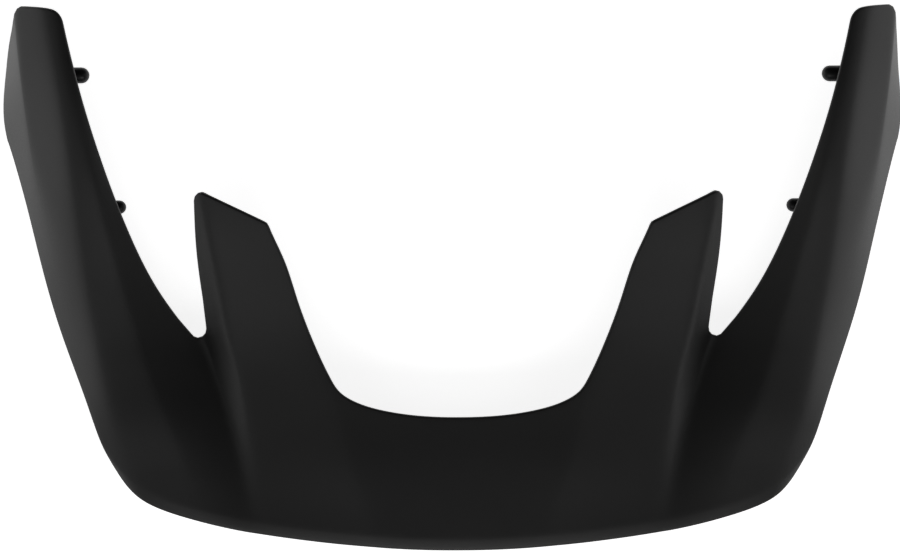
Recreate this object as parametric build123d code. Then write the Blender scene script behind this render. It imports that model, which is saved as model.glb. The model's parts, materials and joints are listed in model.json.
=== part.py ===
from build123d import *
import math
import os

os.makedirs("parts", exist_ok=True)

# Clip-on helmet visor, lying hollow side down. Millimetres.
# X runs across, +Y from the brim to the ends of the arms, +Z up.

# driving dimensions
HALF_WIDTH = 112.4  # centre line to the outside of a rear fin
DEPTH = 134.9  # front lip to the end of an arm
WALL = 2.0
LIP_DEPTH = 3.2  # height of the turned-down band on the front edge
LIP_WIDTH = 2.4
SLOT_END_R = 1.6  # round at the closed end of each side slot
PRONG_TIP_R = 1.6
ARM_TIP_R = 4.6
FIN_TOP_Z = 21.5  # underside of an arm's end, behind the fin

PIVOT_R = 2.0  # rear peg, the one the visor tilts about
PIVOT_LENGTH = 6.4  # boss face to the peg's tip
PIVOT_FROM_END = 16.9  # behind it, to the end of the arm
PIVOT_Z = 20.0
PIVOT_STAND = 6.38  # boss face in from the arm's inside wall
PIVOT_SHANK = 4.6
DETENT_R = 1.7  # front peg
DETENT_LENGTH = 5.4
DETENT_FROM_PIVOT = 32.1
DETENT_Z = 14.0
DETENT_STAND = 10.53
DETENT_SHANK = 3.4
BOSS_WALL = 1.7
SHANK_SHARE = 0.75  # shank radius over peg radius
HOLE_CLEARANCE = 0.01
SKIN_COLUMNS = 44
SKIN_ROWS = 36

# The section is a chain of facets with rounded creases. Each list gives a
# crease's distance from the centre line, or its height, at the stations.
STATIONS = [-6, 8, 20, 33, 45, 54, 66, 80, 95, 110, 125, 140]
CENTRE_Z = [12.0, 14.2, 16.0, 17.7, 19.6, 21.5, 24.8, 28.9, 33.6, 37.0, 41.0, 44.0]
PLATE_X = [19.5, 22.5, 26.8, 30.0, 33.5, 36.5, 39.5, 42.0, 44.0, 45.0, 46.0, 47.0]
PLATE_Z = [11.8, 13.9, 15.7, 17.2, 19.1, 21.0, 24.5, 28.9, 33.8, 37.0, 40.0, 43.0]
CREST_X = [48.0, 48.8, 50.2, 52.2, 54.8, 57.6, 60.0, 62.9, 66.0, 70.0, 74.0, 77.0]
CREST_Z = [8.2, 9.7, 11.4, 13.3, 15.4, 17.6, 21.6, 26.6, 31.4, 35.0, 38.0, 40.0]
GROOVE_X = [50.5, 51.2, 53.4, 56.6, 60.0, 62.9, 67.3, 72.0, 77.0, 81.0, 84.0, 87.0]
GROOVE_Z = [7.8, 9.0, 9.3, 9.0, 8.5, 8.3, 9.6, 12.3, 15.3, 20.0, 24.0, 27.0]
RIDGE_X = [62.0, 64.5, 67.3, 72.2, 76.5, 79.3, 83.2, 87.2, 90.8, 94.3, 97.2, 100.0]
RIDGE_Z = [6.4, 7.6, 9.6, 11.9, 13.4, 14.7, 17.3, 21.4, 25.6, 28.5, 30.2, 31.5]
SHOULDER_X = [71.5, 75.5, 79.5, 84.5, 87.8, 89.6, 91.8, 93.8, 96.0, 98.2, 100.5, 103.0]
SHOULDER_Z = [4.9, 5.8, 7.4, 9.6, 11.3, 12.8, 15.7, 20.2, 24.7, 27.8, 29.6, 31.0]
FLANK_X = [75.0, 78.8, 82.7, 88.3, 92.0, 94.5, 97.8, 101.3, 104.7, 107.0, 108.8, 110.0]
FLANK_Z = [3.9, 4.7, 5.9, 7.4, 8.8, 9.7, 11.6, 14.2, 15.0, 18.2, 21.6, 24.0]
RIM_X = [78.0, 81.0, 84.6, 90.7, 94.7, 97.5, 101.3, 104.9, 109.0, 112.4, 111.9, 112.4]
RIM_Z = [3.2, 3.8, 4.6, 5.2, 4.6, 4.2, 4.2, 3.8, 1.5, 0.0, 3.0, 7.0]
PLATE_ROUND = [6.0, 5.0, 4.0, 4.0, 5.0, 6.0, 8.0, 9.0, 9.0, 9.0, 9.0, 9.0]
CREST_ROUND = [5.0, 4.0, 3.2, 2.8, 2.6, 2.4, 2.4, 2.4, 3.0, 4.0, 5.0, 5.0]
GROOVE_ROUND = [6.0, 5.0, 4.0, 3.2, 3.0, 3.0, 3.0, 3.5, 4.0, 5.0, 5.0, 5.0]
RIDGE_ROUND = [6.0, 5.0, 4.0, 3.2, 3.0, 3.0, 3.0, 3.0, 3.0, 3.0, 3.0, 3.0]
SHOULDER_ROUND = [6.0, 5.0, 4.0, 3.4, 3.2, 3.2, 3.2, 3.2, 3.2, 3.2, 3.2, 3.2]
FLANK_ROUND = [6.0, 6.0, 6.0, 6.0, 6.0, 6.0, 5.5, 4.5, 3.0, 2.4, 2.4, 2.4]

# plan view of the edges, right-hand half
FRONT_EDGE = [(0, 0), (20, 0.8), (37.9, 3.0), (53.6, 5.8), (65.4, 8.7), (73.9, 11.6)]
CORNER = [(79.3, 14.6), (82.0, 17.2), (85.6, 22.4), (88.3, 27.4), (90.3, 32.6)]
SIDE_EDGE = [(92.8, 40.1), (96.3, 50.1), (101.2, 65.4), (106.0, 84.7), (108.6, 94.9), (111.5, 105.1)]
ARM_TIP = [(98.4, 132.0), (109.2, 134.9), (109.9, 131.4)]
ARM_INSIDE = [(97.2, 126.8), (94.9, 118.2), (92.2, 109.1), (89.2, 100.0), (86.1, 91.3)]
ARM_FRONT = [(81.5, 79.9), (75.7, 68.3), (72.6, 63.5), (69.0, 58.7)]
SLOT_END = (61.9, 50.7)
PRONG_OUTSIDE = [(63.4, 62.6), (64.9, 73.3), (65.6, 87.7)]
PRONG_INSIDE = [(47.2, 79.0), (43.1, 70.1), (39.9, 60.8), (36.3, 51.4), (31.8, 41.8)]
THROAT = [(29.8, 38.8), (26.7, 36.6), (19.0, 34.0), (0, 32.2)]
# inner edge of the lip, which runs out past the rim
LIP_EDGE = [(0, 0), (37.6, 3.0), (52.9, 5.9), (64.5, 8.9), (72.7, 11.7), (77.8, 14.3)]
LIP_END = [(80.6, 17.2), (84.9, 22.6), (93, 32)]
# side view of a fin's lower edge
FIN_START = [(38, 0.9), (48, 0.5)]
FIN_EDGE = [(58, 0.2), (68, 1.0), (78, 1.7), (88, 2.0), (97, 1.7), (103, 0.7), (108, 0)]
FIN_END = [(115, 0), (121.5, 1.7), (125.8, 5.2), (128.6, 9.8), (130.4, 14.6), (132.2, 18.8)]

SPREAD = HALF_WIDTH / 112.4
REACH = DEPTH / 134.9


def along(values, y):
    """A station list read at y, as a smooth curve through its values."""
    last = len(STATIONS) - 1
    k = 0
    while k < last - 1 and y > STATIONS[k + 1]:
        k += 1
    slopes = []
    for i in (k, k + 1):
        a = max(i - 1, 0)
        b = min(i + 1, last)
        slopes.append((values[b] - values[a]) / (STATIONS[b] - STATIONS[a]))
    step = STATIONS[k + 1] - STATIONS[k]
    t = min(max((y - STATIONS[k]) / step, 0.0), 1.0)
    start = (2 * t**3 - 3 * t**2 + 1) * values[k] + (t**3 - 2 * t**2 + t) * step * slopes[0]
    end = (3 * t**2 - 2 * t**3) * values[k + 1] + (t**3 - t**2) * step * slopes[1]
    return start + end


def creases(y):
    """The section's corners at y, from the centre line out, as (x, z, round)."""
    return [
        (0.0, along(CENTRE_Z, y), 0.0),
        (along(PLATE_X, y), along(PLATE_Z, y), along(PLATE_ROUND, y)),
        (along(CREST_X, y), along(CREST_Z, y), along(CREST_ROUND, y)),
        (along(GROOVE_X, y), along(GROOVE_Z, y), along(GROOVE_ROUND, y)),
        (along(RIDGE_X, y), along(RIDGE_Z, y), along(RIDGE_ROUND, y)),
        (along(SHOULDER_X, y), along(SHOULDER_Z, y), along(SHOULDER_ROUND, y)),
        (along(FLANK_X, y), along(FLANK_Z, y), along(FLANK_ROUND, y)),
        (along(RIM_X, y), along(RIM_Z, y), 0.0),
    ]


def height(x, y):
    """Height of the visor's outside face over the point x, y."""
    line = creases(y)
    slopes = []
    for inner, outer in zip(line, line[1:]):
        slopes.append((outer[1] - inner[1]) / (outer[0] - inner[0]))
    z = line[0][1] + slopes[0] * x
    for corner, before, after in zip(line[1:-1], slopes, slopes[1:]):
        off = x - corner[0]
        z += (after - before) * (off + math.hypot(off, corner[2])) / 2
    return z


def inside_point(x, y):
    """The point one wall thickness below the outside face at x, y."""
    d = 0.05
    dx = (height(x + d, y) - height(x - d, y)) / (2 * d)
    dy = (height(x, y + d) - height(x, y - d)) / (2 * d)
    if x == 0:
        dx = 0.0
    k = WALL / math.sqrt(1 + dx * dx + dy * dy)
    return x + k * dx, y + k * dy, height(x, y) - k


def inside_height(x, y):
    """Height of the visor's inside face over the point x, y."""
    u = x
    v = y
    for step in range(8):
        found = inside_point(u, v)
        u += x - found[0]
        v += y - found[1]
    return inside_point(u, v)[2]


def skin(surface):
    """One smooth face over the whole visor, through surface(x, y) on a regular grid."""
    rows = []
    for i in range(SKIN_ROWS + 1):
        y = -4 + 144 * i / SKIN_ROWS
        reach = along(RIM_X, y) + 5
        half = []
        for j in range(SKIN_COLUMNS + 1):
            x = reach * j / SKIN_COLUMNS
            half.append((x * SPREAD, y * REACH, surface(x, y)))
        rows.append([(-x, v, z) for x, v, z in reversed(half[1:])] + half)
    return Face.make_surface_from_array_of_points(rows, tol=0.02)


def scaled(points):
    return [(x * SPREAD, y * REACH) for x, y in points]


def plan_face():
    """Half of the outline seen from above, standing clear of the fins."""
    with BuildSketch() as sketch:
        with BuildLine():
            rim = Spline(*scaled(FRONT_EDGE + CORNER + SIDE_EDGE), tangents=[(1, 0), (1, 3.2)])
            inside = Spline(*scaled(ARM_INSIDE + ARM_FRONT))
            outside = Spline(*scaled(PRONG_OUTSIDE))
            prong = Spline(*scaled(PRONG_INSIDE + THROAT), tangents=[(-1, -2.6), (-1, 0)])
            tip = scaled(ARM_TIP)
            open_side = scaled([(113.5, 107), (116.5, 110), (116.5, 131.4)])
            Polyline(rim @ 1, *open_side, tip[2], tip[1], tip[0], inside @ 0)
            Polyline(inside @ 1, scaled([SLOT_END])[0], outside @ 0)
            Line(outside @ 1, prong @ 0)
            Line(prong @ 1, (0, 0))
        make_face()

        def corner(place):
            near = Vector(*scaled([place])[0])
            return [v for v in sketch.vertices() if (Vector(v) - near).length < 1]

        fillet(corner(SLOT_END), SLOT_END_R)
        fillet(corner(PRONG_OUTSIDE[-1]) + corner(PRONG_INSIDE[0]), PRONG_TIP_R)
        fillet(corner(ARM_TIP[0]), ARM_TIP_R)
        fillet(corner(ARM_TIP[1]), 1.5)
    return sketch.sketch


def both_sides(half):
    return half + mirror(half, Plane.YZ)


def fin_profile():
    """What lies below the side rims from the fins back, to be cut away."""
    with BuildSketch(Plane.YZ) as sketch:
        with BuildLine():
            edge = Spline(*[(y * REACH, z) for y, z in FIN_START + FIN_EDGE + FIN_END])
            rear = (137 * REACH, FIN_TOP_Z)
            Polyline(edge @ 1, rear, (150 * REACH, -40), (38 * REACH, -40), edge @ 0)
        make_face()
    return extrude(sketch.sketch, 200, both=True)


def inside_lip():
    """The plan area behind the lip, where the wall keeps its usual thickness."""
    with BuildSketch() as sketch:
        with BuildLine():
            line = [(x, y + LIP_WIDTH) for x, y in scaled(LIP_EDGE + LIP_END)]
            edge = Spline(*line, tangents=[(1, 0), (1, 1.4)])
            Polyline(edge @ 1, *scaled([(130, 60), (130, 150), (0, 150)]), edge @ 0)
        make_face()
    return both_sides(sketch.sketch)


def wall_distance(y, z):
    """Distance out to the arm's inside wall at y and height z."""
    low = along(RIDGE_X, y / REACH)
    high = 116.0
    for step in range(40):
        middle = (low + high) / 2
        if inside_height(middle, y / REACH) > z:
            low = middle
        else:
            high = middle
    return low * SPREAD


def rod(radius, x0, x1, y, z):
    """A cylinder across the visor from x0 to x1."""
    half = abs(x1 - x0) / 2
    return Pos((x0 + x1) / 2, y, z) * Rot(0, 90, 0) * Cylinder(radius, 2 * half)


def peg(radius, length, boss_x, shank, y, z, side):
    """A dome-ended peg with its shank pressed into a boss, on one side."""
    start = boss_x - length + radius
    head = rod(radius, start, boss_x, y, z)
    dome = Pos(start, y, z) * Sphere(radius)
    foot = rod(radius * SHANK_SHARE, boss_x - 0.5, boss_x + shank, y, z)
    whole = head + dome + foot
    return whole if side > 0 else mirror(whole, Plane.YZ)


outside_skin = skin(height)
inside_skin = skin(inside_height)
below_outside = Solid.extrude(outside_skin, Vector(0, 0, -80))
below_inside = Solid.extrude(inside_skin, Vector(0, 0, -80))

column = Pos(0, 0, -30) * extrude(both_sides(plan_face()), 90)
hollow = (Pos(0, 0, -40) * extrude(inside_lip(), 100)) & below_inside
front = Box(300 * SPREAD, 64 * REACH, 120)
below_lip = (Pos(0, 0, -LIP_DEPTH) * below_outside) & front

shell = (column & below_outside) - hollow - below_lip - fin_profile()

pivot_y = DEPTH - PIVOT_FROM_END
detent_y = pivot_y - DETENT_FROM_PIVOT
pivot_face = wall_distance(pivot_y, PIVOT_Z) - PIVOT_STAND
detent_face = wall_distance(detent_y, DETENT_Z) - DETENT_STAND
pegs = {
    "rear_peg": (PIVOT_R, PIVOT_LENGTH, pivot_face, PIVOT_SHANK, pivot_y, PIVOT_Z),
    "front_peg": (DETENT_R, DETENT_LENGTH, detent_face, DETENT_SHANK, detent_y, DETENT_Z),
}
within_wall = Pos(0, 0, -1.2) * below_outside
for radius, length, boss_x, shank, y, z in pegs.values():
    boss = rod(radius + BOSS_WALL, boss_x, boss_x + 14, y, z) & within_wall
    hole = rod(radius * SHANK_SHARE + HOLE_CLEARANCE, boss_x - 1, boss_x + shank + 0.1, y, z)
    for side in (1, -1):
        pad = boss if side > 0 else mirror(boss, Plane.YZ)
        bore = hole if side > 0 else mirror(hole, Plane.YZ)
        shell = shell + pad - bore
print("shell", shell.volume, shell.bounding_box(), len(shell.solids()), shell.is_valid)

# the whole visor stands on z = 0, centred on the origin
box = shell.bounding_box()
home = Pos(0, -(box.min.Y + box.max.Y) / 2, -box.min.Z)
export_step(home * shell, "parts/visor_shell.step")
for name, (radius, length, boss_x, shank, y, z) in pegs.items():
    for side, hand in ((1, "right"), (-1, "left")):
        part = peg(radius, length, boss_x, shank, y, z, side)
        export_step(home * part, f"parts/{name}_{hand}.step")
print("home", home.position, "pegs", pivot_face, pivot_y, detent_face, detent_y)
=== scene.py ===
import json
import math

import bpy
import numpy as np
from mathutils import Matrix, Vector
from mathutils.geometry import delaunay_2d_cdt


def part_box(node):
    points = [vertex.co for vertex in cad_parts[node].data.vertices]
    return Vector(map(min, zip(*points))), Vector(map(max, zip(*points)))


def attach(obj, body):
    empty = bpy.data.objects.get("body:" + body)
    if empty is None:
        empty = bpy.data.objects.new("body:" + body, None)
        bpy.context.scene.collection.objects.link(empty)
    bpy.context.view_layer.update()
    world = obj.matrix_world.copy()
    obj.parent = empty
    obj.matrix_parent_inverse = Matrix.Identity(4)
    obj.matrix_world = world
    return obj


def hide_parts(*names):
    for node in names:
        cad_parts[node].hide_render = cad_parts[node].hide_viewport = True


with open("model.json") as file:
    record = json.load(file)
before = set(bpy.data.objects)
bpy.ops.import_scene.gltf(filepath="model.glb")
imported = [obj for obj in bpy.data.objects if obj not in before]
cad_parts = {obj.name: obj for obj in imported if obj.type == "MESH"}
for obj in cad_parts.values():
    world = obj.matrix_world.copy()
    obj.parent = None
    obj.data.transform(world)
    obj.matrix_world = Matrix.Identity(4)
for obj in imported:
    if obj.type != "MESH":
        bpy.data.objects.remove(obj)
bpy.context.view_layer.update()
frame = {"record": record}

# ---------------------------------------------------------------- sizes, mm
MM = 0.001
WALL = 2.0
MESH_STEP = 0.95
EDGE_ROUND = 0.7
LIP_INSET = 2.6
LIP_FADE = (12.5, 27.0)  # the lip dies out round the corner, between these y
FIN_HEEL_R = 4.4  # where a fin's rim meets the arm's end, in plan
ARM_OUTER_R = 1.5
ARM_INNER_R = 4.6
SLOT_END_R = 1.6
PRONG_TIP_R = 1.6
BOSS_WALL = 1.7
ROUND_COUNT = 56  # points round a peg or a boss
EDGE_CLEAR = 0.42  # closest an inner point comes to the edge, over MESH_STEP
CREASE_CLEAR = 0.5  # and to a crease
FLANK_GUARD = 0.35  # extra points this far each side of the flank's crease
SLOPE_REACH = 0.04  # half the span that a slope is taken over
HALVINGS = 40  # steps of a search by halving

# Crease lines of the shell at stations along y: distance out, and height.
STATIONS = [-6, 8, 20, 33, 45, 54, 66, 80, 95, 110, 125, 140]
CENTRE_Z = [12.0, 14.2, 16.0, 17.7, 19.6, 21.5, 24.8, 28.9, 33.6, 37.0, 41.0, 44.0]
PLATE_X = [19.5, 22.5, 26.8, 30.0, 33.5, 36.5, 39.5, 42.0, 44.0, 45.0, 46.0, 47.0]
PLATE_Z = [11.8, 13.9, 15.7, 17.2, 19.1, 21.0, 24.5, 28.9, 33.8, 37.0, 40.0, 43.0]
CREST_X = [48.0, 48.8, 50.2, 52.2, 54.8, 57.6, 60.0, 62.9, 66.0, 70.0, 74.0, 77.0]
CREST_Z = [8.2, 9.7, 11.4, 13.3, 15.4, 17.6, 21.6, 26.6, 31.4, 35.0, 38.0, 40.0]
GROOVE_X = [50.5, 51.2, 53.4, 56.6, 60.0, 62.9, 67.3, 72.0, 77.0, 81.0, 84.0, 87.0]
GROOVE_Z = [7.8, 9.0, 9.3, 9.0, 8.5, 8.3, 9.6, 12.3, 15.3, 20.0, 24.0, 27.0]
RIDGE_X = [62.0, 64.5, 67.3, 72.2, 76.5, 79.3, 83.2, 87.2, 90.8, 94.3, 97.2, 100.0]
RIDGE_Z = [6.4, 7.6, 9.6, 11.9, 13.4, 14.7, 17.3, 21.4, 25.6, 28.5, 30.2, 31.5]
SHOULDER_X = [71.5, 75.5, 79.5, 84.5, 87.8, 89.6, 91.8, 93.8, 96.0, 98.2, 100.5, 103.0]
SHOULDER_Z = [4.9, 5.8, 7.4, 9.6, 11.3, 12.8, 15.7, 20.2, 24.7, 27.8, 29.6, 31.0]
FLANK_X = [75.0, 78.8, 82.7, 88.3, 92.0, 94.5, 97.8, 101.3, 104.7, 107.0, 108.8, 110.0]
FLANK_Z = [3.9, 4.7, 5.9, 7.4, 8.8, 9.7, 11.6, 14.2, 15.0, 18.2, 21.6, 24.0]
RIM_X = [78.0, 81.0, 84.6, 90.7, 94.7, 97.5, 101.3, 104.9, 109.0, 112.4, 111.9, 112.4]
RIM_Z = [3.2, 3.8, 4.6, 5.2, 4.6, 4.2, 4.2, 3.8, 1.5, 0.0, 3.0, 7.0]
PLATE_ROUND = [3.0, 2.0, 1.4, 1.4, 3.0, 5.0, 8.0, 9.0, 9.0, 9.0, 9.0, 9.0]
CREST_ROUND = [2.6, 1.8, 1.4, 1.3, 1.3, 1.4, 1.6, 1.8, 3.0, 4.0, 5.0, 5.0]
GROOVE_ROUND = [2.6, 1.8, 1.4, 1.3, 1.3, 1.6, 2.4, 3.5, 4.0, 5.0, 5.0, 5.0]
RIDGE_ROUND = [3.6, 2.6, 1.8, 1.5, 1.4, 1.4, 1.4, 1.4, 1.5, 1.6, 1.6, 1.6]
SHOULDER_ROUND = [4.0, 3.0, 2.2, 1.8, 1.7, 1.7, 1.9, 2.2, 2.4, 2.4, 2.4, 2.4]
FLANK_ROUND = [6.0, 6.0, 6.0, 6.0, 6.0, 6.0, 5.0, 3.5, 1.0, 0.3, 0.3, 0.3]

# plan view of the edges, right-hand half
FRONT_EDGE = [(0, 0), (20, 0.8), (37.9, 3.0), (53.6, 5.8), (65.4, 8.7), (73.9, 11.6)]
CORNER = [(79.3, 14.6), (82.0, 17.2), (85.6, 22.4), (88.3, 27.4), (90.3, 32.6)]
SIDE_EDGE = [
    (92.8, 40.1), (96.3, 50.1), (101.2, 65.4), (106.0, 84.7), (108.6, 94.9), (111.5, 105.1),
]
ARM_END = [(109.2, 134.9), (97.8, 131.9)]
ARM_INSIDE = [(96.7, 126.8), (94.6, 118.2), (92.1, 109.1), (89.2, 100.0), (86.1, 91.3)]
ARM_FRONT = [(81.5, 79.9), (75.7, 68.3), (72.6, 63.5), (69.0, 58.7)]
SLOT_END = (61.9, 50.7)
PRONG_OUTSIDE = [(63.4, 62.6), (64.9, 73.3), (65.6, 87.7)]
PRONG_INSIDE = [(47.2, 79.0), (43.1, 70.1), (39.9, 60.8), (36.3, 51.4), (31.8, 41.8)]
THROAT = [(29.8, 38.8), (26.7, 36.6), (19.0, 34.0), (0, 32.2)]
# side view of the lower edge from mid-arm to the end of the fin
FIN_EDGE = [(58, 0.2), (68, 1.0), (78, 1.7), (88, 2.0), (97, 1.7), (103, 0.7), (108, 0)]
FIN_END = [
    (115, 0), (121.5, 1.7), (125.8, 5.2), (128.6, 9.8), (130.4, 14.6), (132.2, 18.8), (137, 21.5),
]


# ---------------------------------------------------------------- shell form
def along(values, y):
    """A station list read at y, as a smooth curve through its values."""
    at = np.array(STATIONS, float)
    v = np.array(values, float)
    slope = np.empty(len(v))
    slope[1:-1] = (v[2:] - v[:-2]) / (at[2:] - at[:-2])
    slope[0] = (v[1] - v[0]) / (at[1] - at[0])
    slope[-1] = (v[-1] - v[-2]) / (at[-1] - at[-2])
    k = np.clip(np.searchsorted(at, y, side="left") - 1, 0, len(v) - 2)
    step = at[k + 1] - at[k]
    t = np.clip((y - at[k]) / step, 0, 1)
    start = (2 * t**3 - 3 * t**2 + 1) * v[k] + (t**3 - 2 * t**2 + t) * step * slope[k]
    return start + (3 * t**2 - 2 * t**3) * v[k + 1] + (t**3 - t**2) * step * slope[k + 1]


def crease_lines(y):
    """The section's corners at y from the centre line out: x, z and rounding."""
    return [
        (0 * y, along(CENTRE_Z, y), 0 * y),
        (along(PLATE_X, y), along(PLATE_Z, y), along(PLATE_ROUND, y)),
        (along(CREST_X, y), along(CREST_Z, y), along(CREST_ROUND, y)),
        (along(GROOVE_X, y), along(GROOVE_Z, y), along(GROOVE_ROUND, y)),
        (along(RIDGE_X, y), along(RIDGE_Z, y), along(RIDGE_ROUND, y)),
        (along(SHOULDER_X, y), along(SHOULDER_Z, y), along(SHOULDER_ROUND, y)),
        (along(FLANK_X, y), along(FLANK_Z, y), along(FLANK_ROUND, y)),
        (along(RIM_X, y), along(RIM_Z, y), 0 * y),
    ]


def height(x, y):
    """Height of the shell's outside face over x, y."""
    x = np.abs(x)
    line = crease_lines(y)
    slopes = [(b[1] - a[1]) / (b[0] - a[0]) for a, b in zip(line, line[1:])]
    z = line[0][1] + slopes[0] * x
    for corner, before, after in zip(line[1:-1], slopes, slopes[1:]):
        off = x - corner[0]
        z = z + (after - before) * (off + np.hypot(off, corner[2])) / 2
    return z


def face_normal(x, y):
    d = SLOPE_REACH
    dx = (height(x + d, y) - height(x - d, y)) / (2 * d)
    dy = (height(x, y + d) - height(x, y - d)) / (2 * d)
    n = np.stack([-dx, -dy, np.ones_like(dx)], axis=-1)
    return n / np.linalg.norm(n, axis=-1, keepdims=True)


SPAN = np.linspace(0, 117, 469)


def unrolled(y):
    """Distance along the section from the centre line, at every SPAN, for each y."""
    z = height(SPAN[None, :], np.atleast_1d(y)[:, None])
    step = np.hypot(np.diff(SPAN)[None, :], np.diff(z, axis=1))
    return np.concatenate([np.zeros((len(z), 1)), np.cumsum(step, axis=1)], axis=1)


def lay_flat(points):
    """(x, y) points as (distance along the section, y)."""
    rows = unrolled(points[:, 1])
    s = [np.interp(abs(x), SPAN, row) for x, row in zip(points[:, 0], rows)]
    return np.column_stack([np.sign(points[:, 0]) * s, points[:, 1]])


def fold_back(flat):
    rows = unrolled(flat[:, 1])
    x = [np.interp(abs(s), row, SPAN) for s, row in zip(flat[:, 0], rows)]
    return np.column_stack([np.sign(flat[:, 0]) * x, flat[:, 1]])


# ---------------------------------------------------------------- outline
def smooth_through(points, start=None, end=None, step=0.2):
    """A fair curve through points, leaving and arriving along start and end."""
    p = np.array(points, float)
    chord = np.linalg.norm(np.diff(p, axis=0), axis=1)
    n = len(p)
    a = np.zeros((n, n))
    b = np.zeros((n, 2))
    for i in range(1, n - 1):
        h0, h1 = chord[i - 1], chord[i]
        a[i, i - 1 : i + 2] = (h1, 2 * (h0 + h1), h0)
        b[i] = 3 * (h0 * (p[i + 1] - p[i]) / h1 + h1 * (p[i] - p[i - 1]) / h0)
    for row, near, way, first in ((0, 1, start, 0), (n - 1, n - 2, end, n - 2)):
        if way is None:
            a[row, row], a[row, near] = 2, 1
            b[row] = 3 * (p[first + 1] - p[first]) / chord[first]
        else:
            a[row, row] = 1
            b[row] = np.array(way, float) / np.linalg.norm(way)
    tangent = np.linalg.solve(a, b)
    out = []
    for i in range(n - 1):
        t = np.linspace(0, 1, max(int(chord[i] / step), 2), endpoint=False)[:, None]
        out.append(
            (2 * t**3 - 3 * t**2 + 1) * p[i]
            + (t**3 - 2 * t**2 + t) * chord[i] * tangent[i]
            + (3 * t**2 - 2 * t**3) * p[i + 1]
            + (t**3 - t**2) * chord[i] * tangent[i + 1]
        )
    return np.vstack(out + [p[-1:]])


def travelled(line):
    return np.concatenate([[0], np.cumsum(np.linalg.norm(np.diff(line, axis=0), axis=1))])


def point_at(line, distance):
    along_it = travelled(line)
    return np.array([np.interp(distance, along_it, line[:, k]) for k in (0, 1)])


def round_join(first, second, radius):
    """first, then second, with their shared corner rounded to radius."""
    into = first[-1] - point_at(first, travelled(first)[-1] - 0.5)
    out_of = point_at(second, 0.5) - second[0]
    into = into / np.linalg.norm(into)
    out_of = out_of / np.linalg.norm(out_of)
    turn = math.atan2(into[0] * out_of[1] - into[1] * out_of[0], into @ out_of)
    cut = radius * math.tan(abs(turn) / 2)
    keep = travelled(first) < travelled(first)[-1] - cut
    a = point_at(first, travelled(first)[-1] - cut)
    side = np.array([-into[1], into[0]]) * math.copysign(1, turn)
    centre = a + side * radius
    arc = []
    for t in np.linspace(0, turn, 14)[:-1]:
        c, s = math.cos(t), math.sin(t)
        off = a - centre
        arc.append(centre + np.array([c * off[0] - s * off[1], s * off[0] + c * off[1]]))
    rest = travelled(second) > cut
    return np.vstack([first[keep], arc, point_at(second, cut)[None], second[rest]])


def fin_rim(y):
    """Distance out to where the outside face meets the fin's lower edge."""
    side = smooth_through(FIN_EDGE + FIN_END)
    target = np.interp(y, side[:, 0], side[:, 1])
    low, high = np.full_like(y, 85.0), np.full_like(y, 116.5)
    for _ in range(HALVINGS):
        middle = (low + high) / 2
        above = height(middle, y) > target
        low, high = np.where(above, middle, low), np.where(above, high, middle)
    return (low + high) / 2


def shell_outline():
    """The shell's edge in plan, once round anticlockwise, evenly spaced."""
    front = smooth_through(FRONT_EDGE + CORNER + SIDE_EDGE, start=(1, 0), end=(1, 3.2))
    rear_y = np.arange(60, 132, 0.2)
    rear = np.column_stack([fin_rim(rear_y), rear_y])
    shared = front[:, 1] > 60
    met = np.minimum(front[shared, 0], np.interp(front[shared, 1], rear_y, rear[:, 0]))
    side = np.vstack([front[~shared], np.column_stack([met, front[shared, 1]])])
    side = np.vstack([side, rear[rear_y > side[-1, 1] + 0.1]])
    tip = np.array([side[-1], ARM_END[0], ARM_END[1]], float)
    inside = smooth_through([ARM_END[1]] + ARM_INSIDE + ARM_FRONT)
    foot = np.array([SLOT_END], float)
    outside = smooth_through(PRONG_OUTSIDE)
    prong = smooth_through(PRONG_INSIDE + THROAT, start=(-1, -2.6), end=(-1, 0))
    half = round_join(side, tip[:2], FIN_HEEL_R)
    half = round_join(half, tip[1:], ARM_OUTER_R)
    half = round_join(half, inside, ARM_INNER_R)
    half = np.vstack([half, foot])
    half = round_join(half, np.vstack([foot, outside]), SLOT_END_R)
    half = round_join(half, np.vstack([outside[-1:], prong[:1]]), PRONG_TIP_R)
    half = round_join(half, prong, PRONG_TIP_R)
    whole = np.vstack([half, (half * [-1, 1])[::-1][1:-1]])
    closed = np.vstack([whole, whole[:1]])
    length = travelled(closed)
    count = int(length[-1] / MESH_STEP)
    at = np.linspace(0, length[-1], count, endpoint=False)
    return np.column_stack([np.interp(at, length, closed[:, k]) for k in (0, 1)])


# ---------------------------------------------------------------- shell mesh
def lip_amount(points):
    """1 along the front edge, fading to 0 round each corner."""
    on_front = points[:, 1] < np.where(np.abs(points[:, 0]) > 60, 60, 20)
    t = np.clip((LIP_FADE[1] - points[:, 1]) / (LIP_FADE[1] - LIP_FADE[0]), 0, 1)
    return np.where(on_front, t * t * (3 - 2 * t), 0)


# The edge's section from the outside face to the inside, as (outward, up).
PLAIN_SECTION = [
    (0, 0), (0.14, -0.01), (0.27, -0.05), (0.39, -0.12), (0.5, -0.2), (0.58, -0.31),
    (0.65, -0.43), (0.69, -0.56), (0.7, -0.72), (0.67, -0.95), (0.62, -1.2), (0.57, -1.4),
    (0.52, -1.58), (0.45, -1.74), (0.37, -1.86), (0.27, -1.95), (0.17, -1.99), (0.08, -2.0),
    (0, -2.0),
]
LIP_SECTION = [
    (0, 0), (0.5, -0.05), (1.0, -0.12), (1.5, -0.21), (2.0, -0.31), (2.45, -0.42),
    (2.75, -0.52), (2.88, -0.64), (2.93, -0.88), (2.9, -1.4), (2.8, -2.1), (2.64, -2.75),
    (2.42, -3.15), (2.12, -3.3), (1.8, -3.14), (1.4, -2.66), (0.95, -2.22), (0.45, -2.03),
    (0, -2.0),
]


def edge_sections(amount):
    """The section at each edge point: plain, or the lip's, or between the two."""
    share = amount[:, None, None]
    return np.array(PLAIN_SECTION)[None] * (1 - share) + np.array(LIP_SECTION)[None] * share


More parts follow.
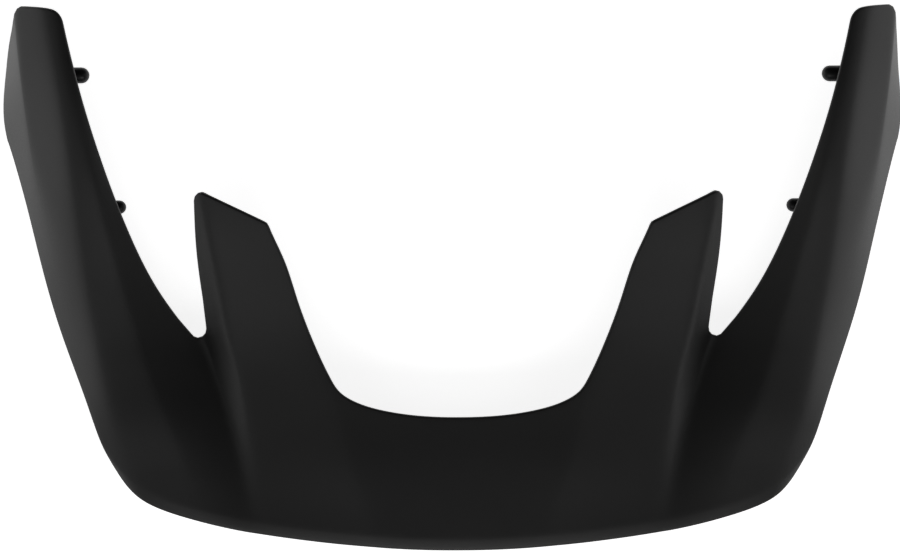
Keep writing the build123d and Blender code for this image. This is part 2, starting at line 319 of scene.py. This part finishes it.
def filled_rows(loop):
    """Points inside loop (in the laid-flat plane), in rows, with the creases among them."""
    margin = EDGE_CLEAR * MESH_STEP
    ends = np.roll(loop, -1, axis=0)
    found = []

    def spans(y):
        hit = (loop[:, 1] <= y) != (ends[:, 1] <= y)
        a, b = loop[hit], ends[hit]
        return np.sort(a[:, 0] + (y - a[:, 1]) * (b[:, 0] - a[:, 0]) / (b[:, 1] - a[:, 1]))

    rise = MESH_STEP * math.sqrt(3) / 2
    for j, y in enumerate(np.arange(loop[:, 1].min(), loop[:, 1].max(), rise)):
        row = unrolled(np.array([y]))[0]
        limit = np.abs(loop[:, 0]).max()
        s = np.arange(-limit, limit, MESH_STEP) + (MESH_STEP / 2 if j % 2 else 0)
        creases = [float(c[0]) for c in crease_lines(np.float64(y))[1:7]]
        creases = np.interp(creases, SPAN, row)
        creases = np.concatenate([creases, creases[-1:] - FLANK_GUARD, creases[-1:] + FLANK_GUARD])
        creases = np.concatenate([-creases, creases])
        s = s[np.abs(s[:, None] - creases[None]).min(axis=1) > CREASE_CLEAR * MESH_STEP]
        s = np.concatenate([s, creases])
        inside = np.ones(len(s), bool)
        for level in (y - margin, y, y + margin):
            gates = spans(level)
            within = np.zeros(len(s), bool)
            for a, b in zip(gates[::2], gates[1::2]):
                within |= (s > a + margin) & (s < b - margin)
            inside &= within
        found.append(np.column_stack([s[inside], np.full(inside.sum(), y)]))
    return np.vstack(found)


def shell_geometry():
    """Points, faces and an edge mask for the whole moulded shell."""
    outline = shell_outline()
    lip = lip_amount(outline)
    flat = lay_flat(outline)
    ahead = np.roll(flat, -1, axis=0) - np.roll(flat, 1, axis=0)
    ahead /= np.linalg.norm(ahead, axis=1, keepdims=True)
    inward = np.column_stack([-ahead[:, 1], ahead[:, 0]])
    inset = EDGE_ROUND * (1 - lip) + LIP_INSET * lip
    loop = flat + inward * inset[:, None]
    inner = filled_rows(loop)
    sheet = np.vstack([loop, inner])
    count = len(loop)
    ring = [(i, (i + 1) % count) for i in range(count)]
    result = delaunay_2d_cdt([Vector(p) for p in sheet], ring, [list(range(count))], 1, 1e-6)
    came_from = [ids[0] for ids in result[3]]
    triangles = [[came_from[i] for i in face] for face in result[2]]

    plan = fold_back(sheet)
    x, y = plan[:, 0], plan[:, 1]
    top = np.column_stack([x, y, height(x, y)])
    normal = face_normal(x, y)
    under = top - normal * WALL

    rim_point = np.column_stack([outline, height(outline[:, 0], outline[:, 1])])
    edge_normal = normal[:count]
    outward = rim_point - top[:count]
    outward -= edge_normal * np.sum(outward * edge_normal, axis=1, keepdims=True)
    outward /= np.linalg.norm(outward, axis=1, keepdims=True)
    sections = edge_sections(lip)
    rings = []
    for k in range(1, len(LIP_SECTION) - 1):
        out, up = sections[:, k, 0:1], sections[:, k, 1:2]
        rings.append(top[:count] + outward * out + edge_normal * up)

    total = len(sheet)
    points = np.vstack([top, under] + rings)
    faces = [tuple(t) for t in triangles]
    faces += [tuple(total + i for i in reversed(t)) for t in triangles]
    levels = [0] + [2 * total + k * count for k in range(len(rings))] + [total]
    for a, b in zip(levels, levels[1:]):
        for i, j in ring:
            faces.append((a + j, a + i, b + i, b + j))
    # the edge mask drives a painted highlight: it lightens the shell's colour along its rims
    edge_mask = np.zeros(len(points))
    edge_mask[2 * total :] = 1
    edge_mask[:count] = edge_mask[total : total + count] = 0.6
    return points, faces, edge_mask


# ---------------------------------------------------------------- pieces
# The peg's own solid fixes where the shell's drawing sits in the frame.
PEG_DRAWN_Y, PEG_DRAWN_Z = 118.0, 20.0
peg_low, peg_high = (np.array(v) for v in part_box("rear_peg_right"))
peg_centre = (peg_low + peg_high) / 2
SHIFT = np.array([0, peg_centre[1] / MM - PEG_DRAWN_Y, peg_centre[2] / MM - PEG_DRAWN_Z])


def make_piece(name, points, faces, material, slot, nodes=(), edge_mask=None):
    """A mesh from millimetre points in the drawing's place, riding on the frame."""
    mesh = bpy.data.meshes.new(name)
    mesh.from_pydata(((points + SHIFT) * MM).tolist(), [], faces)
    mesh.validate()
    mesh.polygons.foreach_set("use_smooth", [True] * len(mesh.polygons))
    if edge_mask is not None:
        layer = mesh.attributes.new("edge", "FLOAT", "POINT")
        layer.data.foreach_set("value", edge_mask.astype(np.float32))
    mesh.materials.append(material)
    piece = bpy.data.objects.new(name, mesh)
    bpy.context.scene.collection.objects.link(piece)
    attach(piece, "root")
    if nodes:
        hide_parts(*nodes)
    return piece


def turned(section, y, z, side, count=ROUND_COUNT):
    """A form turned about an axis across the visor, from (x, radius) pairs."""
    points = []
    for x, r in section:
        for i in range(count):
            a = 2 * math.pi * i / count
            points.append((side * x, y + r * math.cos(a), z + r * math.sin(a)))
    faces = []
    for k in range(len(section) - 1):
        for i in range(count):
            j = (i + 1) % count
            quad = (k * count + i, k * count + j, (k + 1) * count + j, (k + 1) * count + i)
            faces.append(quad if side < 0 else quad[::-1])
    cap = tuple(range(count))
    last = tuple((len(section) - 1) * count + i for i in range(count))
    faces.append(cap[::-1] if side < 0 else cap)
    faces.append(last if side < 0 else last[::-1])
    return np.array(points), faces


def wall_x(y, z, depth):
    """Distance out to the plane depth below the outside face, at height z."""
    low, high = np.full_like(y, 60.0), np.full_like(y, 116.0)
    for _ in range(HALVINGS):
        middle = (low + high) / 2
        drop = depth / face_normal(middle, y)[..., 2]
        above = height(middle, y) - drop > z
        low, high = np.where(above, middle, low), np.where(above, high, middle)
    return (low + high) / 2


def boss_geometry(face_x, radius, bore, y, z, side, count=ROUND_COUNT):
    """A peg's boss: a round pad whose foot flares into the wall's inside face."""
    rings = []
    angle = np.linspace(0, 2 * math.pi, count, endpoint=False)

    def circle(r):
        return y + r * np.cos(angle), z + r * np.sin(angle)

    for r, x in ((bore, face_x + 1.2), (bore, face_x + 0.15), (bore + 0.15, face_x)):
        cy, cz = circle(r)
        rings.append(np.column_stack([np.full(count, x), cy, cz]))
    for r, x in ((radius - 0.4, 0), (radius - 0.12, 0.12), (radius, 0.4)):
        cy, cz = circle(r)
        rings.append(np.column_stack([np.full(count, face_x + x), cy, cz]))
    flare = ((0, 1.0, WALL), (0.15, 0.45, WALL), (0.45, 0.12, WALL), (0.8, 0, 1.0))
    for extra, lift, depth in flare:
        cy, cz = circle(radius + extra)
        foot = np.maximum(wall_x(cy, cz, depth) - lift, face_x + 0.4)
        rings.append(np.column_stack([foot, cy, cz]))
    points = np.vstack(rings) * [side, 1, 1]
    faces = []
    for k in range(len(rings) - 1):
        for i in range(count):
            j = (i + 1) % count
            quad = (k * count + i, k * count + j, (k + 1) * count + j, (k + 1) * count + i)
            faces.append(quad[::-1] if side < 0 else quad)
    first = tuple(range(count))
    last = tuple((len(rings) - 1) * count + i for i in range(count))
    faces.append(first if side < 0 else first[::-1])
    faces.append(last[::-1] if side < 0 else last)
    return points, faces


def peg_section(tip_x, face_x, radius):
    """Shoulder, neck, barrel and dome of a snap peg, from the boss to the tip."""
    section = [(face_x + 1.0, radius * 0.78), (face_x + 0.02, radius * 0.78)]
    section += [(face_x + 0.02, radius + 0.22), (face_x - 0.3, radius + 0.3)]
    section += [(face_x - 0.55, radius + 0.22), (face_x - 0.7, radius - 0.02)]
    section += [(face_x - 0.9, radius - 0.12), (face_x - 1.3, radius - 0.1)]
    section += [(face_x - 1.6, radius), (tip_x + radius, radius)]
    for a in (15, 30, 45, 58, 70, 80):
        t = math.radians(a)
        section.append((tip_x + radius * (1 - math.sin(t)), radius * math.cos(t)))
    section.append((tip_x + 0.004, radius * 0.06))
    return section


# ---------------------------------------------------------------- finishes
def new_group(name, inputs, outputs):
    group = bpy.data.node_groups.new(name, "ShaderNodeTree")
    for label, kind, value in inputs:
        socket = group.interface.new_socket(label, in_out="INPUT", socket_type=kind)
        if value is not None:
            socket.default_value = value
    for label, kind in outputs:
        group.interface.new_socket(label, in_out="OUTPUT", socket_type=kind)
    nodes = group.nodes
    return group, nodes.new("NodeGroupInput"), nodes.new("NodeGroupOutput")


def moulded_grain():
    """Fine spark-eroded grain with a broad, faint unevenness under it."""
    group, given, out = new_group(
        "moulded_grain",
        [
            ("Grain per metre", "NodeSocketFloat", 4200.0),
            ("Grain depth", "NodeSocketFloat", 0.00002),
            ("Strength", "NodeSocketFloat", 0.4),
        ],
        [("Normal", "NodeSocketVector"), ("Grain", "NodeSocketFloat"), ("Patches", "NodeSocketFloat")],
    )
    add, link = group.nodes.new, group.links.new
    place = add("ShaderNodeTexCoord")
    fine = add("ShaderNodeTexNoise")
    fine.inputs["Detail"].default_value = 3.0
    fine.inputs["Roughness"].default_value = 0.6
    broad = add("ShaderNodeTexNoise")
    broad.inputs["Scale"].default_value = 38.0
    broad.inputs["Detail"].default_value = 4.0
    bump = add("ShaderNodeBump")
    link(place.outputs["Object"], fine.inputs["Vector"])
    link(place.outputs["Object"], broad.inputs["Vector"])
    link(given.outputs["Grain per metre"], fine.inputs["Scale"])
    link(given.outputs["Grain depth"], bump.inputs["Distance"])
    link(given.outputs["Strength"], bump.inputs["Strength"])
    link(fine.outputs["Fac"], bump.inputs["Height"])
    link(bump.outputs["Normal"], out.inputs["Normal"])
    link(fine.outputs["Fac"], out.inputs["Grain"])
    link(broad.outputs["Fac"], out.inputs["Patches"])
    return group


def ranged(tree, source, low, high, from_low=0.3, from_high=0.7):
    node = tree.nodes.new("ShaderNodeMapRange")
    node.inputs["From Min"].default_value = from_low
    node.inputs["From Max"].default_value = from_high
    node.inputs["To Min"].default_value = low
    node.inputs["To Max"].default_value = high
    tree.links.new(source, node.inputs["Value"])
    return node.outputs["Result"]


def mixed_colour(tree, factor, a, b):
    node = tree.nodes.new("ShaderNodeMix")
    node.data_type = "RGBA"
    tree.links.new(factor, node.inputs["Factor"])
    for label, colour in (("A", a), ("B", b)):
        socket = [s for s in node.inputs if s.name == label and s.type == "RGBA"][0]
        if isinstance(colour, tuple):
            socket.default_value = (*colour, 1)
        else:
            tree.links.new(colour, socket)
    return [s for s in node.outputs if s.type == "RGBA"][0]


def new_finish(name):
    material = bpy.data.materials.new(name)
    material.use_nodes = True
    return material, material.node_tree, material.node_tree.nodes["Principled BSDF"]


def shell_black(grain):
    """Matte black moulding, very slightly smoother along its edges, and lighter there as a painted
    highlight.
    """
    material, tree, shader = new_finish("shell_black")
    texture = tree.nodes.new("ShaderNodeGroup")
    texture.node_tree = grain
    texture.inputs["Grain per metre"].default_value = 3600.0
    texture.inputs["Grain depth"].default_value = 0.00003
    texture.inputs["Strength"].default_value = 0.5
    link = tree.links.new
    edge = tree.nodes.new("ShaderNodeAttribute")
    edge.attribute_name = "edge"
    tone = ranged(tree, texture.outputs["Patches"], 0, 1)
    plain = mixed_colour(tree, tone, (0.006, 0.006, 0.0062), (0.008, 0.0079, 0.0077))
    # painted highlight: the base colour is lightened along the shell's edges and rims
    edge_highlight = ranged(tree, edge.outputs["Fac"], 0, 0.5, 0.3, 1)
    link(mixed_colour(tree, edge_highlight, plain, (0.0085, 0.0084, 0.0082)), shader.inputs["Base Color"])
    rough = ranged(tree, texture.outputs["Grain"], 0.47, 0.57)
    ease = tree.nodes.new("ShaderNodeMath")
    ease.operation = "SUBTRACT"
    link(rough, ease.inputs[0])
    link(ranged(tree, edge.outputs["Fac"], 0, 0.03, 0.3, 1), ease.inputs[1])
    link(ease.outputs[0], shader.inputs["Roughness"])
    link(texture.outputs["Normal"], shader.inputs["Normal"])
    shader.inputs["Specular IOR Level"].default_value = 0.37
    return material


def peg_black(grain):
    """Smooth, half-gloss black for the pegs, with a trace of mould texture."""
    material, tree, shader = new_finish("peg_black")
    texture = tree.nodes.new("ShaderNodeGroup")
    texture.node_tree = grain
    texture.inputs["Grain per metre"].default_value = 1400.0
    texture.inputs["Grain depth"].default_value = 0.000012
    texture.inputs["Strength"].default_value = 0.3
    link = tree.links.new
    tone = ranged(tree, texture.outputs["Patches"], 0, 1)
    colour = mixed_colour(tree, tone, (0.006, 0.006, 0.0065), (0.009, 0.009, 0.0095))
    link(colour, shader.inputs["Base Color"])
    link(ranged(tree, texture.outputs["Grain"], 0.34, 0.42), shader.inputs["Roughness"])
    link(texture.outputs["Normal"], shader.inputs["Normal"])
    shader.inputs["Specular IOR Level"].default_value = 0.2
    return material


def floor_white():
    material, tree, shader = new_finish("floor_white")
    shader.inputs["Base Color"].default_value = (0.9, 0.9, 0.9, 1)
    shader.inputs["Roughness"].default_value = 0.9
    shader.inputs["Emission Color"].default_value = (1, 1, 1, 1)
    shader.inputs["Emission Strength"].default_value = 0.85
    return material


# ---------------------------------------------------------------- build
grain = moulded_grain()
shell_finish = shell_black(grain)
peg_finish = peg_black(grain)

points, faces, edge_mask = shell_geometry()
make_piece("moulded_shell", points, faces, shell_finish, "shell_black", ["visor_shell"], edge_mask)

for mount in frame["record"]["mounts"]:
    kind, _, hand = mount["name"].split("_")
    node = f"{kind}_peg_{hand}"
    low, high = (np.array(v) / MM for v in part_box(node))
    y, z = ((low + high) / 2 - SHIFT)[1:]
    side = 1 if hand == "right" else -1
    radius = mount["dims"]["r_mm"]
    face_x = abs(mount["pos_m"][0]) / MM + mount["dims"]["length_mm"] / 2
    tip_x = min(abs(low[0]), abs(high[0]))
    boss = boss_geometry(face_x, radius + BOSS_WALL, radius * 0.8, y, z, side)
    make_piece(f"{kind}_boss_{hand}", *boss, shell_finish, "shell_black")
    body = turned(peg_section(tip_x, face_x, radius), y, z, side)
    make_piece(f"{kind}_snap_{hand}", *body, peg_finish, "peg_black", [node])


# ---------------------------------------------------------------- studio
# metres and watts: place of the box on one side or in front, width, height, power
FLOOR_REACH = 3.0
AIM = (0, 0, 0.02)
SIDE_BOXES = [
    ("low", 1.3, 0.14, 1.4, 0.24, 3.3),
    ("mid", 1.2, 0.45, 1.4, 0.4, 0.1),
    ("high", 0.9, 0.9, 1.2, 0.5, 0.95),
]
FRONT_BOXES = [
    ("front", 1.0, 0.85, 1.4, 0.5, 7.0),
    ("front_high", 0.7, 1.25, 1.4, 0.6, 1.0),
]


def studio_floor():
    mesh = bpy.data.meshes.new("studio_floor")
    corners = [(x * FLOOR_REACH, y * FLOOR_REACH, 0) for x, y in ((-1, -1), (1, -1), (1, 1), (-1, 1))]
    mesh.from_pydata(corners, [], [(0, 1, 2, 3)])
    mesh.materials.append(floor_white())
    floor = bpy.data.objects.new("studio_floor", mesh)
    bpy.context.scene.collection.objects.link(floor)


def softbox(name, place, wide, tall, power):
    light = bpy.data.lights.new(name, "AREA")
    light.shape = "RECTANGLE"
    light.size = wide
    light.size_y = tall
    light.energy = power
    lamp = bpy.data.objects.new(name, light)
    facing = (Vector(AIM) - Vector(place)).to_track_quat("-Z", "Y")
    lamp.matrix_world = Matrix.Translation(place) @ facing.to_matrix().to_4x4()
    bpy.context.scene.collection.objects.link(lamp)


studio_floor()
for hand, side in (("left", -1), ("right", 1)):
    for name, out, up, wide, tall, power in SIDE_BOXES:
        softbox(f"{name}_{hand}", (side * out, 0, up), wide, tall, power)
for name, ahead, up, wide, tall, power in FRONT_BOXES:
    softbox(name, (0, -ahead, up), wide, tall, power)

world = bpy.data.worlds.new("studio_air")
world.use_nodes = True
world.node_tree.nodes["Background"].inputs["Color"].default_value = (0.004, 0.004, 0.004, 1)
world.node_tree.nodes["Background"].inputs["Strength"].default_value = 1.0
bpy.context.scene.world = world

# The camera looks almost straight down, tipped to the brim's side.
CAMERA_DISTANCE = 1.8
FIELD_WIDTH = 0.22317
CAMERA_ROLL = -0.0038
SENSOR_WIDTH = 36
target = Vector((-0.001774, 0.001565, 0.0105))
to_camera = Vector((-0.0418, -0.1918, 0.9805)).normalized()
image_right = Vector((1, 0, 0))
image_right = (image_right - to_camera * image_right.dot(to_camera)).normalized()
image_right = Matrix.Rotation(CAMERA_ROLL, 3, to_camera) @ image_right
image_up = to_camera.cross(image_right)
data = bpy.data.cameras.new("camera")
data.sensor_width = SENSOR_WIDTH
data.lens = data.sensor_width * CAMERA_DISTANCE / FIELD_WIDTH
data.clip_end = 20
camera = bpy.data.objects.new("camera", data)
turn = Matrix((image_right, image_up, to_camera)).transposed().to_4x4()
camera.matrix_world = Matrix.Translation(target + to_camera * CAMERA_DISTANCE) @ turn
bpy.context.scene.collection.objects.link(camera)
bpy.context.scene.camera = camera
bpy.context.scene.view_settings.view_transform = "Standard"
bpy.context.scene.view_settings.look = "None"
